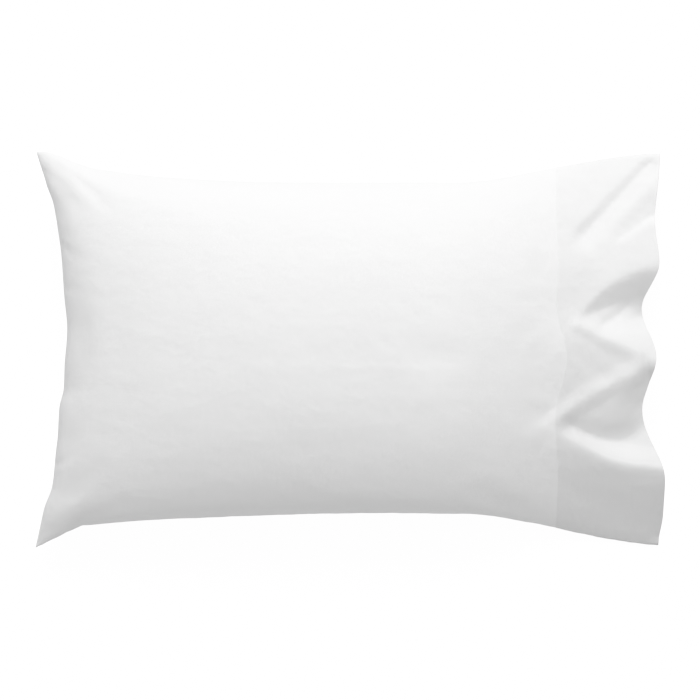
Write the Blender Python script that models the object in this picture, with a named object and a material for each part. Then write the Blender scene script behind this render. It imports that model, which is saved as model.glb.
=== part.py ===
"""A white cotton pillowcase over its pillow, lying on its back.

The long way is X: the sewn end is at -X, and the open hem is at +X. Z is up, and the underside lies flat
at Z = 0. The case and the pillow are one filled solid. Past the pillow the hem is hollow: two thin layers
of cloth with the pillow's rounded end between them.

A point of the cloth has two coordinates. "along" is where it lies on X before the ends bow and wave, and
"across" runs from -1 at one side seam to 1 at the other.
"""

import math
from collections import namedtuple

import bmesh
import bpy

# Driving sizes of the filled case, in metres: its length, its width at the waist, and how much wider it
# gets at the hem and at the sewn corners.
SEWN_END = -0.398
OPEN_END = 0.394
HALF_WAIST = 0.210
HEM_FLARE = 0.0404
SEWN_FLARE = 0.016
EAR_ROUND = 0.010
WAIST_DRAW = 0.003
SEWN_BOW = 0.038

# Heights. The side seams run level round the pillow, droop at the sewn corners and sink at the hem, which
# hangs lower at -Y than at +Y. The crown rises above the seams and the underside bulges below them.
SEAM_LEVEL = 0.074
CORNER_DROOP = 0.022
HEM_LEVEL = 0.021
HEM_TILT = 0.014
CROWN = 0.101
HEM_CROWN = 0.064
UNDERSIDE = 0.100
HEM_UNDERSIDE = 0.080
FILLING_RUN = 0.33

# Cloth: half of a seam's thickness, a layer's thickness, the bend where it lifts off the ground, and how
# far the under layer of the hem lies short of the upper one.
SEAM_HALF = 0.0006
CLOTH_WALL = 0.0022
GROUND_BEND = 0.010
HEM_STEP = 0.030

# The pillow inside the hem: where its end leaves the cloth, and the tip of its rounded nose.
PILLOW_END = 0.272
PILLOW_NOSE = 0.310
NOSE_SETBACK = 0.030

# The mesh: cells across each face, and cells along each stretch of the case.
CELLS_ACROSS = 40
Stretch = namedtuple("Stretch", "name start end cells crowding")
STRETCHES = (
    Stretch("sewn end", SEWN_END, -0.300, 7, 1.8),
    Stretch("body", -0.300, 0.195, 14, 1.0),
    Stretch("hem", 0.195, OPEN_END, 16, 1.0),
)
POCKET_CELLS = 8
NOSE_CELLS = 5

# The two ends, from one side seam to the other: how far the open hem's edge reaches at each turn of its wave,
# and how far the sewn end is shifted.
Turn = namedtuple("Turn", "y reach")
HEM_EDGE = (
    Turn(-0.249, 0.395),
    Turn(-0.210, 0.399),
    Turn(-0.168, 0.399),
    Turn(-0.076, 0.371),
    Turn(-0.008, 0.388),
    Turn(0.053, 0.371),
    Turn(0.112, 0.392),
    Turn(0.163, 0.387),
    Turn(0.250, 0.395),
)
SEWN_EDGE = (
    Turn(-0.240, -0.002),
    Turn(-0.205, -0.002),
    Turn(-0.172, 0.003),
    Turn(-0.120, 0.000),
    Turn(-0.072, -0.003),
    Turn(-0.050, 0.000),
    Turn(-0.018, -0.001),
    Turn(0.028, 0.002),
    Turn(0.072, 0.000),
    Turn(0.140, 0.002),
    Turn(0.185, 0.003),
    Turn(0.212, 0.000),
    Turn(0.240, -0.001),
)

# The folds of the hem's upper layer. Each is a trough (rise below 0) or ridge along a bowed line, with two
# nearly straight flanks that reach FLANK widths to each side and bend over the share SOFT of that.
# Lean widens the side to the left of the line, as seen from its start, and narrows the other.
FLANK = 1.5
SOFT = 0.2
Fold = namedtuple("Fold", "name x0 y0 x1 y1 bow width0 width1 rise0 rise1 lean")
FOLDS = (
    Fold("upper valley", 0.296, 0.040, 0.400, 0.038, 0.017, 0.010, 0.043, -0.005, -0.050, 0.0),
    Fold("lower valley", 0.282, -0.100, 0.390, -0.068, -0.037, 0.011, 0.036, -0.004, -0.028, 0.25),
    Fold("valley pocket", 0.318, -0.074, 0.372, -0.050, 0.000, 0.012, 0.018, -0.001, -0.004, 0.0),
    Fold("middle ridge", 0.262, -0.092, 0.390, -0.018, 0.006, 0.012, 0.012, 0.003, 0.003, 0.0),
    Fold("middle dip", 0.290, -0.005, 0.322, -0.036, 0.000, 0.012, 0.012, -0.001, -0.002, 0.0),
    Fold("wedge ridge", 0.288, 0.034, 0.390, -0.010, 0.000, 0.009, 0.018, 0.004, 0.007, -0.2),
    Fold("lower ridge", 0.250, -0.090, 0.400, -0.153, -0.009, 0.010, 0.036, 0.001, 0.026, -0.45),
    Fold("corner crease", 0.378, 0.238, 0.305, 0.156, 0.0, 0.007, 0.012, -0.006, -0.002, 0.0),
    Fold("inner crease", 0.388, 0.176, 0.340, 0.135, -0.001, 0.008, 0.008, -0.003, -0.001, 0.0),
    Fold("corner welt", 0.382, 0.205, 0.300, 0.124, 0.0, 0.010, 0.014, 0.003, 0.001, 0.0),
)


def mix(first, last, share):
    return first + (last - first) * share


def smooth(value, start, length):
    """0 before the start, 1 past the length, and an even S between them."""
    share = min(max((value - start) / length, 0.0), 1.0)
    return share * share * (3.0 - 2.0 * share)


def dome(share, power, root):
    """1 at the middle and 0 where share is 1 or -1. A root of 0.5 makes its sides upright, as on a ball."""
    return max(1.0 - abs(share) ** power, 0.0) ** root


def bell(value, width):
    """1 at 0, fading evenly to both sides."""
    return math.exp(-((value / width) ** 2))


def crease(value, width):
    """1 near 0, falling along two nearly straight flanks, since cloth is almost flat between its bends."""
    share = value / (FLANK * width)
    return (math.hypot(share + 1.0, SOFT) + math.hypot(share - 1.0, SOFT)) / 2.0 - math.hypot(share, SOFT)


def to_sewn_end(along):
    """0 at the middle of the case and 1 at its sewn end."""
    return max(along / SEWN_END, 0.0)


def reach_at(y, edge):
    """How far an edge reaches at this y, with a soft wave from one turn to the next."""
    for near, far in zip(edge, edge[1:]):
        if y <= far.y:
            return mix(near.reach, far.reach, smooth(y, near.y, far.y - near.y))
    return edge[-1].reach


def half_width(along, across):
    """The case is narrowest at its waist. It widens to the hem, and to a pointed ear at each sewn corner:
    the ear at +Y opens out slowly, and the one at -Y has a short, kinked tip."""
    near_end = to_sewn_end(along)
    waist = HALF_WAIST
    if across > 0.0:
        ear = 0.019 * near_end**4 + 0.008 * smooth(near_end, 0.80, 0.16)
    else:
        ear = 0.012 * near_end**4 + 0.014 * smooth(near_end, 0.86, 0.09)
        waist -= WAIST_DRAW * bell(along - 0.03, 0.13)
    ear -= EAR_ROUND * smooth(near_end, 0.965, 0.06)
    return waist + SEWN_FLARE * near_end**2 + ear + HEM_FLARE * smooth(along, 0.14, 0.27)


def plan(along, across):
    """Where a point of the cloth lies, seen from above: the sewn end bows inwards and both ends wave."""
    y = across * half_width(along, across)
    bow = SEWN_BOW * dome(across, 2.2 if across > 0.0 else 1.6, 1.0)
    from_hem = (OPEN_END - along) / (OPEN_END - SEWN_END)
    wave = (reach_at(y, HEM_EDGE) - OPEN_END) * smooth(along, 0.20, OPEN_END - 0.20)
    wave += reach_at(y, SEWN_EDGE) * to_sewn_end(along) ** 12
    return along + bow * from_hem**1.6 + wave, y


def seam_level(along, across):
    """The height of the side seams."""
    droop = CORNER_DROOP * to_sewn_end(along) ** 5 * abs(across) ** 3
    return mix(SEAM_LEVEL - droop, HEM_LEVEL + HEM_TILT * across, smooth(along, 0.08, 0.26))


def swell(along):
    """How full the case is: flat at the sewn end, and full once the filling has had its run."""
    return dome(1.0 - min((along - SEWN_END) / FILLING_RUN, 1.0), 2.3, 0.5)


def fold_rise(x, y):
    """The sum of the folds at a point of the plan."""
    rise = 0.0
    for fold in FOLDS:
        run_x = fold.x1 - fold.x0
        run_y = fold.y1 - fold.y0
        length = math.hypot(run_x, run_y)
        share = ((x - fold.x0) * run_x + (y - fold.y0) * run_y) / length**2
        beyond = max(-share, share - 1.0, 0.0) * length
        share = min(max(share, 0.0), 1.0)
        aside = ((y - fold.y0) * run_x - (x - fold.x0) * run_y) / length
        aside -= fold.bow * 4.0 * share * (1.0 - share)
        width = mix(fold.width0, fold.width1, share)
        side_width = width * (1.0 + math.copysign(fold.lean, aside * fold.lean))
        rise += mix(fold.rise0, fold.rise1, share) * crease(aside, side_width) * bell(beyond, width)
    return rise


def upper_height(along, across):
    """The upper layer: a full crown over the pillow, which runs out into the folds of the hem."""
    crown = mix(CROWN, HEM_CROWN, smooth(along, 0.06, 0.30))
    power = mix(2.1, 1.5 if across > 0.0 else 2.2, smooth(along, 0.16, 0.16))
    root = mix(0.5, 0.9, smooth(along, 0.10, 0.24))
    bulge = crown * swell(along) * dome(across, power, root)
    folds = fold_rise(*plan(along, across)) * smooth(1.0 - abs(across), 0.0, 0.06)
    return seam_level(along, across) + bulge + folds + SEAM_HALF


def settle(height):
    """Cloth that would sink below the ground lies flat on it, with a soft bend where it lifts off."""
    if height >= GROUND_BEND:
        return height
    return max(height + GROUND_BEND, 0.0) ** 2 / (4.0 * GROUND_BEND)


def lower_height(along, across):
    """The under layer: it bulges down from the seams until it lies on the ground."""
    depth = mix(UNDERSIDE, HEM_UNDERSIDE, smooth(along, 0.0, 0.33))
    root = mix(0.5, 0.9, smooth(along, 0.12, 0.24))
    bulge = depth * swell(along) * dome(across, 2.1, root)
    return settle(seam_level(along, across) - bulge - SEAM_HALF)


def short_fall(along, across):
    """How far the under layer's edge lies short of the upper one, which hides it from above."""
    return HEM_STEP * dome(across, 2.0, 1.0) * smooth(along, 0.25, OPEN_END - 0.25)


def outer_point(along, across, upper):
    x, y = plan(along, across)
    if upper:
        return x, y, upper_height(along, across)
    return x - short_fall(along, across), y, lower_height(along, across)


def pocket_point(along, across, upper, opening, nose):
    """A point inside the hem. The opening is the share of the free height that is left between the layers,
    and the nose runs from 0 where the pillow's end leaves the cloth to 1 at its tip."""
    along -= NOSE_SETBACK * nose * abs(across) ** 3
    across *= 0.98 - 0.05 * nose
    x, y = plan(along, across)
    top = upper_height(along, across)
    bottom = lower_height(along, across)
    half_gap = (top - bottom) / 2.0
    clear = max(half_gap - CLOTH_WALL, 0.2 * half_gap) * opening
    middle = (top + bottom) / 2.0
    if upper:
        return x, y, middle + clear
    return x - short_fall(along, across) * opening, y, middle - clear


def outer_rows():
    """Every "along" at which the outside has a row of points."""
    rows = [SEWN_END]
    for stretch in STRETCHES:
        for cell in range(1, stretch.cells + 1):
            share = (cell / stretch.cells) ** stretch.crowding
            rows.append(mix(stretch.start, stretch.end, share))
    return rows


def pocket_rows():
    """The rows inside the hem, each with its along, opening and nose: in along the cloth from the hem's
    edge, then out again along the pillow's end."""
    rows = []
    for cell in range(POCKET_CELLS + 1):
        rows.append((mix(OPEN_END, PILLOW_END, cell / POCKET_CELLS), 1.0, 0.0))
    for cell in range(1, NOSE_CELLS + 1):
        nose = cell / NOSE_CELLS
        opening = max(1.0 - nose, 0.003) ** 0.55
        rows.append((mix(PILLOW_END, PILLOW_NOSE, nose), opening, nose))
    return rows


def spread_across(share, along):
    """Points crowd at the side seams of the round body, and lie evenly over the folds of the hem."""
    crowding = mix(0.8, 0.3, smooth(along, 0.12, 0.15))
    return mix(share, math.sin(share * math.pi / 2.0), crowding)


def points_of(extruded):
    return [item for item in extruded["geom"] if isinstance(item, bmesh.types.BMVert)]


def faces_of(extruded):
    return [item for item in extruded["geom"] if isinstance(item, bmesh.types.BMFace)]


def case_mesh():
    """A flat slab of cells whose open end is pushed in to make the pocket, and whose points then take their
    places. Until then a point's X is its row, its Y its share of the width, and its Z its layer."""
    outside = outer_rows()
    pocket = pocket_rows()
    edge_row = len(outside) - 1
    shape = bmesh.new()
    bmesh.ops.create_grid(shape, x_segments=edge_row, y_segments=CELLS_ACROSS, size=1.0)
    for point in shape.verts:
        point.co.x = round((point.co.x + 1.0) / 2.0 * edge_row)
    slab = bmesh.ops.extrude_face_region(shape, geom=shape.faces[:])
    for point in points_of(slab):
        point.co.z = 1.0
    mouth = [face for face in shape.faces if all(point.co.x == edge_row for point in face.verts)]
    for _ in pocket:
        pushed = bmesh.ops.extrude_face_region(shape, geom=mouth)
        bmesh.ops.delete(shape, geom=mouth, context="FACES")
        mouth = faces_of(pushed)
        for point in points_of(pushed):
            point.co.x += 1.0
    for point in shape.verts:
        row = round(point.co.x)
        upper = point.co.z > 0.5
        if row <= edge_row:
            along = outside[row]
            point.co = outer_point(along, spread_across(point.co.y, along), upper)
        else:
            along, opening, nose = pocket[row - edge_row - 1]
            point.co = pocket_point(along, spread_across(point.co.y, along), upper, opening, nose)
    bmesh.ops.recalc_face_normals(shape, faces=shape.faces[:])
    mesh = bpy.data.meshes.new("pillowcase")
    shape.to_mesh(mesh)
    shape.free()
    mesh.shade_smooth()
    mesh.set_sharp_from_angle(angle=math.radians(60.0))
    return mesh


def white_cotton():
    white = (0.88, 0.88, 0.88, 1.0)
    material = bpy.data.materials.new("white_cotton")
    material.use_nodes = True
    surface = material.node_tree.nodes["Principled BSDF"]
    surface.inputs["Base Color"].default_value = white
    surface.inputs["Roughness"].default_value = 0.85
    surface.inputs["Metallic"].default_value = 0.0
    material.diffuse_color = white
    return material


def main():
    for old in list(bpy.data.objects):
        bpy.data.objects.remove(old, do_unlink=True)
    parts = bpy.data.collections.new("pillowcase")
    bpy.context.scene.collection.children.link(parts)
    mesh = case_mesh()
    mesh.materials.append(white_cotton())
    parts.objects.link(bpy.data.objects.new("pillowcase", mesh))


main()
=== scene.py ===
# %% [markdown]
# # A white cotton pillowcase, dressed in Blender
#
# A bed pillow in its case is one of the plainest things in a house, and that is what makes it a good first
# piece of cloth to model. There is no pattern to hide behind. All that the eye gets is a full crown, two
# pointed corners at the sewn end, and a deep open hem that hangs in soft, uneven folds.
#
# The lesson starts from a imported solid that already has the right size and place. It is kept as the
# measure of everything that follows, and finer cloth is built in its place.

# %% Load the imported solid
import math
from collections import namedtuple

import bpy
import numpy as np
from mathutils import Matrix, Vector, noise


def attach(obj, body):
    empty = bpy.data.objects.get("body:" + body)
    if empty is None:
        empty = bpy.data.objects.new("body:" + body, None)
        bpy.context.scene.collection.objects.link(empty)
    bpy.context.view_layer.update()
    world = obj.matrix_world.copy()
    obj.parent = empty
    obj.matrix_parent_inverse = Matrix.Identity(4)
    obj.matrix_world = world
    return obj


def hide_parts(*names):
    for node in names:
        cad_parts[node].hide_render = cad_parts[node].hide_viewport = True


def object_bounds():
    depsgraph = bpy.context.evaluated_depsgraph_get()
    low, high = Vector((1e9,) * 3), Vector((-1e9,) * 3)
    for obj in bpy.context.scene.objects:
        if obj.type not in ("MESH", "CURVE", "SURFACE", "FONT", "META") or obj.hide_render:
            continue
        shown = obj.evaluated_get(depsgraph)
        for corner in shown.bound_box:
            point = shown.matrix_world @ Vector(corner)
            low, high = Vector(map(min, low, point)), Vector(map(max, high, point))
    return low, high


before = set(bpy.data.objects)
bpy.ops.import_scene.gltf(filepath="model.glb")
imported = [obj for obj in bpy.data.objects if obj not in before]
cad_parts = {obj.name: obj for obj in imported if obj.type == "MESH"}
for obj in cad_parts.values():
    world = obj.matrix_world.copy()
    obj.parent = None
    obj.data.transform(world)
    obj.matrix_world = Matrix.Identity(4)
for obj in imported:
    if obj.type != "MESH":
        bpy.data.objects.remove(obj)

cad_low, cad_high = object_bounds()
print("the solid's box in metres:", [round(side, 4) for side in cad_high - cad_low])

# %% [markdown]
# ## Small helpers
#
# Cloth has no straight lines, so most sizes here change softly from place to place. Four short functions
# do that work for whole grids of numbers at once: a straight mix, a soft step, a dome and a bell. Loops over
# single points would do the same, but numpy runs a formula on every point of the case in one go. A Ramp
# names where a soft step starts and how long it is.

# %% Mix, soft step, dome and bell
Ramp = namedtuple("Ramp", "start length")


def mix(first, last, share):
    """First where the share is 0, last where it is 1, and straight between them."""
    return first + (last - first) * share


def smooth(value, start, length):
    """0 before the start, 1 past the length, and an even S between them."""
    share = np.clip((value - start) / length, 0.0, 1.0)
    return share * share * (3.0 - 2.0 * share)


def dome(share, power, root):
    """1 at the middle and 0 where share is 1 or -1. A root of 0.5 makes its sides upright, as on a ball."""
    return np.maximum(1.0 - np.abs(share) ** power, 0.0) ** root


def bell(value, width):
    """1 at 0, fading evenly to both sides."""
    return np.exp(-((value / width) ** 2))


print("a soft step at quarters of its way:", smooth(np.linspace(0.0, 1.0, 5), 0.0, 1.0).round(3))

# %% [markdown]
# ## The plan: what the case looks like from above
#
# Every point of the cloth gets two coordinates. "along" is where it would lie on X if the ends of the case
# were straight, and "across" runs from -1 at one side seam to 1 at the other. A filled case draws its
# sides in, so it is narrowest at the waist, widens to the hem, and ends in an ear at each sewn corner.
# The outline could be one curve drawn by hand. Here it is a sum of named parts instead, so that the waist or
# an ear can be changed alone, and its sizes start from the box of the solid, so the cloth fits it.

# %% Driving sizes, from the box
SEWN_END = cad_low.x + 0.002
OPEN_END = cad_high.x - 0.005
HALF_WIDTH = cad_high.y
HALF_WAIST = HALF_WIDTH - 0.040
SEAM_HALF = 0.0006
SEAM_LEVEL = 0.074
CROWN = cad_high.z - SEAM_LEVEL - SEAM_HALF
print(f"length {OPEN_END - SEWN_END:.3f}, waist {2 * HALF_WAIST:.3f}, crown {CROWN:.3f} above the seams")

# %% Sizes of the waist, the flare and the ears
WAIST_DRAW = 0.003
WAIST_PLACE = 0.03
WAIST_RUN = 0.13
FAR_WAIST = 0.003
HEM_FLARE = 0.0404
NEAR_FLARE = Ramp(0.14, 0.27)
FAR_FLARE = Ramp(0.115, 0.285)
SEWN_FLARE = 0.016
NEAR_EAR = 0.0055
NEAR_KINK = 0.020
KINK = Ramp(0.85, 0.15)
FAR_EAR = 0.019
FAR_TIP = 0.008
TIP = Ramp(0.80, 0.16)
TIP_ROUND = 0.0065
ROUNDING = Ramp(0.965, 0.06)
print("each side flares by", HEM_FLARE, "m at the hem and by", SEWN_FLARE, "m at the sewn end, ears apart")

# %% The waves of the two ends
Turn = namedtuple("Turn", "y reach")
HEM_EDGE = (
    Turn(-0.249, 0.395),
    Turn(-0.210, 0.399),
    Turn(-0.168, 0.399),
    Turn(-0.076, 0.371),
    Turn(-0.008, 0.388),
    Turn(0.053, 0.371),
    Turn(0.112, 0.392),
    Turn(0.163, 0.387),
    Turn(0.250, 0.395),
)
SEWN_EDGE = (
    Turn(-0.240, -0.002),
    Turn(-0.205, -0.002),
    Turn(-0.172, 0.003),
    Turn(-0.120, 0.000),
    Turn(-0.072, -0.003),
    Turn(-0.050, 0.000),
    Turn(-0.018, -0.001),
    Turn(0.028, 0.002),
    Turn(0.072, 0.000),
    Turn(0.140, 0.002),
    Turn(0.185, 0.003),
    Turn(0.212, 0.000),
    Turn(0.240, -0.001),
)


def reach_at(y, edge):
    """How far an edge reaches at this y, with a soft wave from one turn to the next."""
    reach = np.full(np.shape(y), edge[0].reach)
    for near, far in zip(edge, edge[1:]):
        reach = np.where(y > near.y, mix(near.reach, far.reach, smooth(y, near.y, far.y - near.y)), reach)
    return reach


print("the edge waves by", round(max(t.reach for t in HEM_EDGE) - min(t.reach for t in HEM_EDGE), 3), "m")

# %% Width and plan
SEWN_BOW = 0.038
NEAR_BOW_POWER = 1.6
FAR_BOW_POWER = 2.2
BOW_FADE = 1.6
HEM_WAVE_FROM = 0.20
SEWN_WAVE_FADE = 12


def to_sewn_end(along):
    """0 at the middle of the case and 1 at its sewn end."""
    return np.maximum(along / SEWN_END, 0.0)


def half_width(along, across):
    """From the middle line to the side seam. The ear at +Y grows slowly, and the one at -Y has a kink."""
    near_end = to_sewn_end(along)
    slow_ear = FAR_EAR * near_end**4 + FAR_TIP * smooth(near_end, *TIP)
    slow_ear = slow_ear - TIP_ROUND * smooth(near_end, *ROUNDING)
    kinked_ear = NEAR_EAR * near_end**4 + NEAR_KINK * np.maximum(near_end - KINK.start, 0.0) / KINK.length
    ear = np.where(across > 0.0, slow_ear, kinked_ear)
    near_waist = -WAIST_DRAW * bell(along - WAIST_PLACE, WAIST_RUN)
    waist = HALF_WAIST + np.where(across > 0.0, FAR_WAIST, near_waist)
    far_flare = (HEM_FLARE - FAR_WAIST) * smooth(along, *FAR_FLARE)
    flare = np.where(across > 0.0, far_flare, HEM_FLARE * smooth(along, *NEAR_FLARE))
    return waist + SEWN_FLARE * near_end**2 + ear + flare


def plan(along, across):
    """The place on X and Y of any point of the cloth: the sewn end bows inwards, and both ends wave."""
    y = across * half_width(along, across)
    bowed = np.where(across > 0.0, dome(across, FAR_BOW_POWER, 1.0), dome(across, NEAR_BOW_POWER, 1.0))
    bow = SEWN_BOW * bowed
    from_hem = (OPEN_END - along) / (OPEN_END - SEWN_END)
    wave = (reach_at(y, HEM_EDGE) - OPEN_END) * smooth(along, HEM_WAVE_FROM, OPEN_END - HEM_WAVE_FROM)
    wave = wave + reach_at(y, SEWN_EDGE) * to_sewn_end(along) ** SEWN_WAVE_FADE
    return along + bow * np.maximum(from_hem, 0.0) ** BOW_FADE + wave, y


ends_and_waist = half_width(np.array([SEWN_END, WAIST_PLACE]), 1.0)
print("half width at the sewn corner and the waist:", ends_and_waist.round(3))

# %% [markdown]
# ## The folds of the open hem
#
# Past the end of the pillow nothing holds the cloth up, so the hem sinks into folds. They aren't alike:
# two deep valleys open towards the edge, a ridge runs slantwise between them, and fine creases fan out of
# the upper corner. Sculpting could place them, and so could a simulation, but neither is easy to correct.
# Here each is one row of a table: a line, how it bows, how wide it is, and how far it rises or sinks.
# The solid has the large ones too. The floor and the pinch of the upper valley and the nick in the edge
# are finer than a solid needs.

# %% The table of folds
FLANK = 1.5
SOFT = 0.2
Fold = namedtuple("Fold", "name x0 y0 x1 y1 bow width0 width1 rise0 rise1 lean")
FOLDS = (
    Fold("upper valley", 0.296, 0.040, 0.400, 0.046, 0.013, 0.010, 0.047, -0.004, -0.056, -0.22),
    Fold("valley floor", 0.322, 0.032, 0.400, 0.040, 0.004, 0.010, 0.014, -0.005, -0.012, 0.0),
    Fold("lower valley", 0.282, -0.097, 0.390, -0.062, -0.036, 0.011, 0.037, -0.005, -0.032, 0.1),
    Fold("valley pocket", 0.318, -0.080, 0.380, -0.062, 0.000, 0.012, 0.018, -0.001, -0.005, 0.0),
    Fold("middle ridge", 0.262, -0.088, 0.390, -0.019, 0.007, 0.010, 0.012, 0.006, 0.005, 0.0),
    Fold("middle dip", 0.290, -0.005, 0.322, -0.036, 0.000, 0.012, 0.012, -0.001, -0.002, 0.0),
    Fold("wedge ridge", 0.290, 0.032, 0.390, -0.012, 0.000, 0.009, 0.018, 0.006, 0.006, 0.1),
    Fold("lower ridge", 0.250, -0.100, 0.400, -0.153, -0.009, 0.018, 0.034, 0.004, 0.028, -0.45),
    Fold("corner crease", 0.381, 0.237, 0.297, 0.146, 0.000, 0.009, 0.013, -0.0055, -0.0065, 0.3),
    Fold("inner crease", 0.392, 0.176, 0.342, 0.142, -0.001, 0.012, 0.008, -0.0070, -0.002, -0.5),
    Fold("corner welt", 0.380, 0.208, 0.298, 0.123, 0.000, 0.010, 0.012, 0.002, 0.001, 0.0),
    Fold("valley pinch", 0.354, 0.056, 0.323, 0.032, 0.000, 0.006, 0.005, -0.002, -0.003, 0.0),
    Fold("edge nick", 0.392, 0.170, 0.380, 0.168, 0.000, 0.004, 0.005, -0.002, -0.001, 0.0),
)


def crease(value, width):
    """1 at 0, falling along two nearly straight flanks, as cloth does between two sharp bends."""
    share = value / (FLANK * width)
    return (np.hypot(share + 1.0, SOFT) + np.hypot(share - 1.0, SOFT)) / 2.0 - np.hypot(share, SOFT)


def fold_rise(x, y, folds):
    """The sum of these folds at points of the plan."""
    rise = np.zeros(np.shape(x))
    for fold in folds:
        run_x = fold.x1 - fold.x0
        run_y = fold.y1 - fold.y0
        length = math.hypot(run_x, run_y)
        share = ((x - fold.x0) * run_x + (y - fold.y0) * run_y) / length**2
        beyond = np.maximum(np.maximum(-share, share - 1.0), 0.0) * length
        share = np.clip(share, 0.0, 1.0)
        aside = ((y - fold.y0) * run_x - (x - fold.x0) * run_y) / length
        aside = aside - fold.bow * 4.0 * share * (1.0 - share)
        width = mix(fold.width0, fold.width1, share)
        side_width = width * np.where(aside > 0.0, 1.0 + fold.lean, 1.0 - fold.lean)
        rise = rise + mix(fold.rise0, fold.rise1, share) * crease(aside, side_width) * bell(beyond, width)
    return rise


print(len(FOLDS), "folds, the deepest", min(fold.rise1 for fold in FOLDS), "m")

# %% [markdown]
# ## The two layers of cloth
#
# The upper layer climbs from the side seams to a full crown, and the under layer bulges down until it lies on
# the ground. Near the pillow both turn over like the side of a ball, because the filling is tight there.
# In the open hem they meet flat, because nothing is between them. The formulas below give the height of
# each layer anywhere, which a sculpted mesh could not be asked for.

# %% Height of the side seams, and how full the case is
SEAM_DROOP = 0.022
SEAM_SINKS = Ramp(0.08, 0.26)
HEM_LEVEL = 0.021
HEM_TILT = 0.014
HEM_DROOP = 0.0045
BALL_ROOT = 0.5
FILLING_RUN = 0.33
FILLING_POWER = 2.3


def seam_level(along, across):
    """The height of the side seams. They droop into the sewn corners and sink towards the hem."""
    droop = SEAM_DROOP * to_sewn_end(along) ** 5 * np.abs(across) ** 3
    hem = HEM_LEVEL + HEM_TILT * across - HEM_DROOP * np.maximum(-across, 0.0) ** 6
    return mix(SEAM_LEVEL - droop, hem, smooth(along, *SEAM_SINKS))


def swell(along):
    """How full the case is: flat at the sewn end, and full once the filling has had its run."""
    run = np.clip((along - SEWN_END) / FILLING_RUN, 0.0, 1.0)
    return dome(1.0 - run, FILLING_POWER, BALL_ROOT)


fullness = swell(np.array([SEWN_END, SEWN_END + FILLING_RUN / 4.0, SEWN_END + FILLING_RUN]))
print("how full the case is at its sewn end, a quarter of the run in, and past it:", fullness.round(2))

# %% Height of the upper layer
BODY_POWER = 2.1
NEAR_HEM_POWER = 2.2
FAR_HEM_POWER = 1.5
POWER_TURNS = Ramp(0.16, 0.16)
FLAT_ROOT = 0.9
ROOT_TURNS = Ramp(0.10, 0.24)
HEM_CROWN = 0.064
CROWN_SINKS = Ramp(0.06, 0.30)
SHOULDER_PLACE = 0.08
SHOULDER_RUN = 0.17
SHOULDER_FALL = 0.65
SHOULDER_POWER = 2.6
SHOULDER_EDGE = 30.0
SEAM_FADE = Ramp(0.0, 0.06)
EDGE_CURL = 0.006
EDGE_CURL_RUN = 0.009
CURLED_SIDE = Ramp(0.70, 0.24)


def shoulder(along, across):
    """How much of the near side is a blunt shoulder: a slope that hardly steepens, and then an edge."""
    return np.where(across < 0.0, bell(along - SHOULDER_PLACE, SHOULDER_RUN), 0.0)


def upper_height(along, across):
    """The sum of the seams' height, the filling's bulge and the folds, less the curl of the hem's edge."""
    crown = mix(CROWN, HEM_CROWN, smooth(along, *CROWN_SINKS))
    hem_power = np.where(across > 0.0, FAR_HEM_POWER, NEAR_HEM_POWER)
    power = mix(BODY_POWER, hem_power, smooth(along, *POWER_TURNS))
    root = mix(BALL_ROOT, FLAT_ROOT, smooth(along, *ROOT_TURNS))
    fall = SHOULDER_FALL * np.abs(across) ** SHOULDER_POWER
    blunt = (1.0 - fall) * dome(across, SHOULDER_EDGE, BALL_ROOT)
    bulge = crown * swell(along) * mix(dome(across, power, root), blunt, shoulder(along, across))
    off_seam = smooth(1.0 - np.abs(across), *SEAM_FADE)
    folds = fold_rise(*plan(along, across), FOLDS) * off_seam
    low_side = np.clip((-across - CURLED_SIDE.start) / CURLED_SIDE.length, 0.0, 1.0) * off_seam
    curl = EDGE_CURL * bell(OPEN_END - along, EDGE_CURL_RUN) * low_side
    return seam_level(along, across) + bulge + folds - curl + SEAM_HALF


crown_height = upper_height(np.array([0.0]), np.array([0.0]))[0]
print("over the middle the upper layer stands at", round(float(crown_height), 4), "m")

# %% Height of the under layer, which settles on the ground
UNDERSIDE = 0.100
HEM_UNDERSIDE = 0.080
UNDERSIDE_RISES = Ramp(0.0, 0.33)
UNDER_ROOT_TURNS = Ramp(0.12, 0.24)
GROUND_BEND = 0.010
HEM_STEP = 0.030
HEM_STEP_FROM = 0.25


def settle(height):
    """Cloth that would sink below the ground lies flat on it, with a soft bend where it lifts off."""
    bent = np.maximum(height + GROUND_BEND, 0.0) ** 2 / (4.0 * GROUND_BEND)
    return np.where(height >= GROUND_BEND, height, bent)


def lower_height(along, across):
    """The under layer bulges down from the seams until it lies on the ground."""
    depth = mix(UNDERSIDE, HEM_UNDERSIDE, smooth(along, *UNDERSIDE_RISES))
    root = mix(BALL_ROOT, FLAT_ROOT, smooth(along, *UNDER_ROOT_TURNS))
    bulge = depth * swell(along) * dome(across, BODY_POWER, root)
    return settle(seam_level(along, across) - bulge - SEAM_HALF)


def short_fall(along, across):
    """How far the under layer's edge lies short of the upper one, which hides it from above."""
    return HEM_STEP * dome(across, 2.0, 1.0) * smooth(along, HEM_STEP_FROM, OPEN_END - HEM_STEP_FROM)


print("under it the lower layer lies at", float(lower_height(np.array([0.0]), np.array([0.0]))[0]), "m")

# %% [markdown]
# ## Rings of points
#
# A sewn tube of cloth is easiest to handle as a stack of rings. Each ring starts at the side seam at -Y,
# crosses the upper layer to the other seam, and comes back along the under layer. All rings have the same
# number of points, so any two can be joined by a band of quads, and the case is one table of rings by points.
# A subdivided box could be bent to the same form, but a table keeps every point's place in the cloth: it
# later feeds the simulation, the weave's directions and the path of the stitches.

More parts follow.
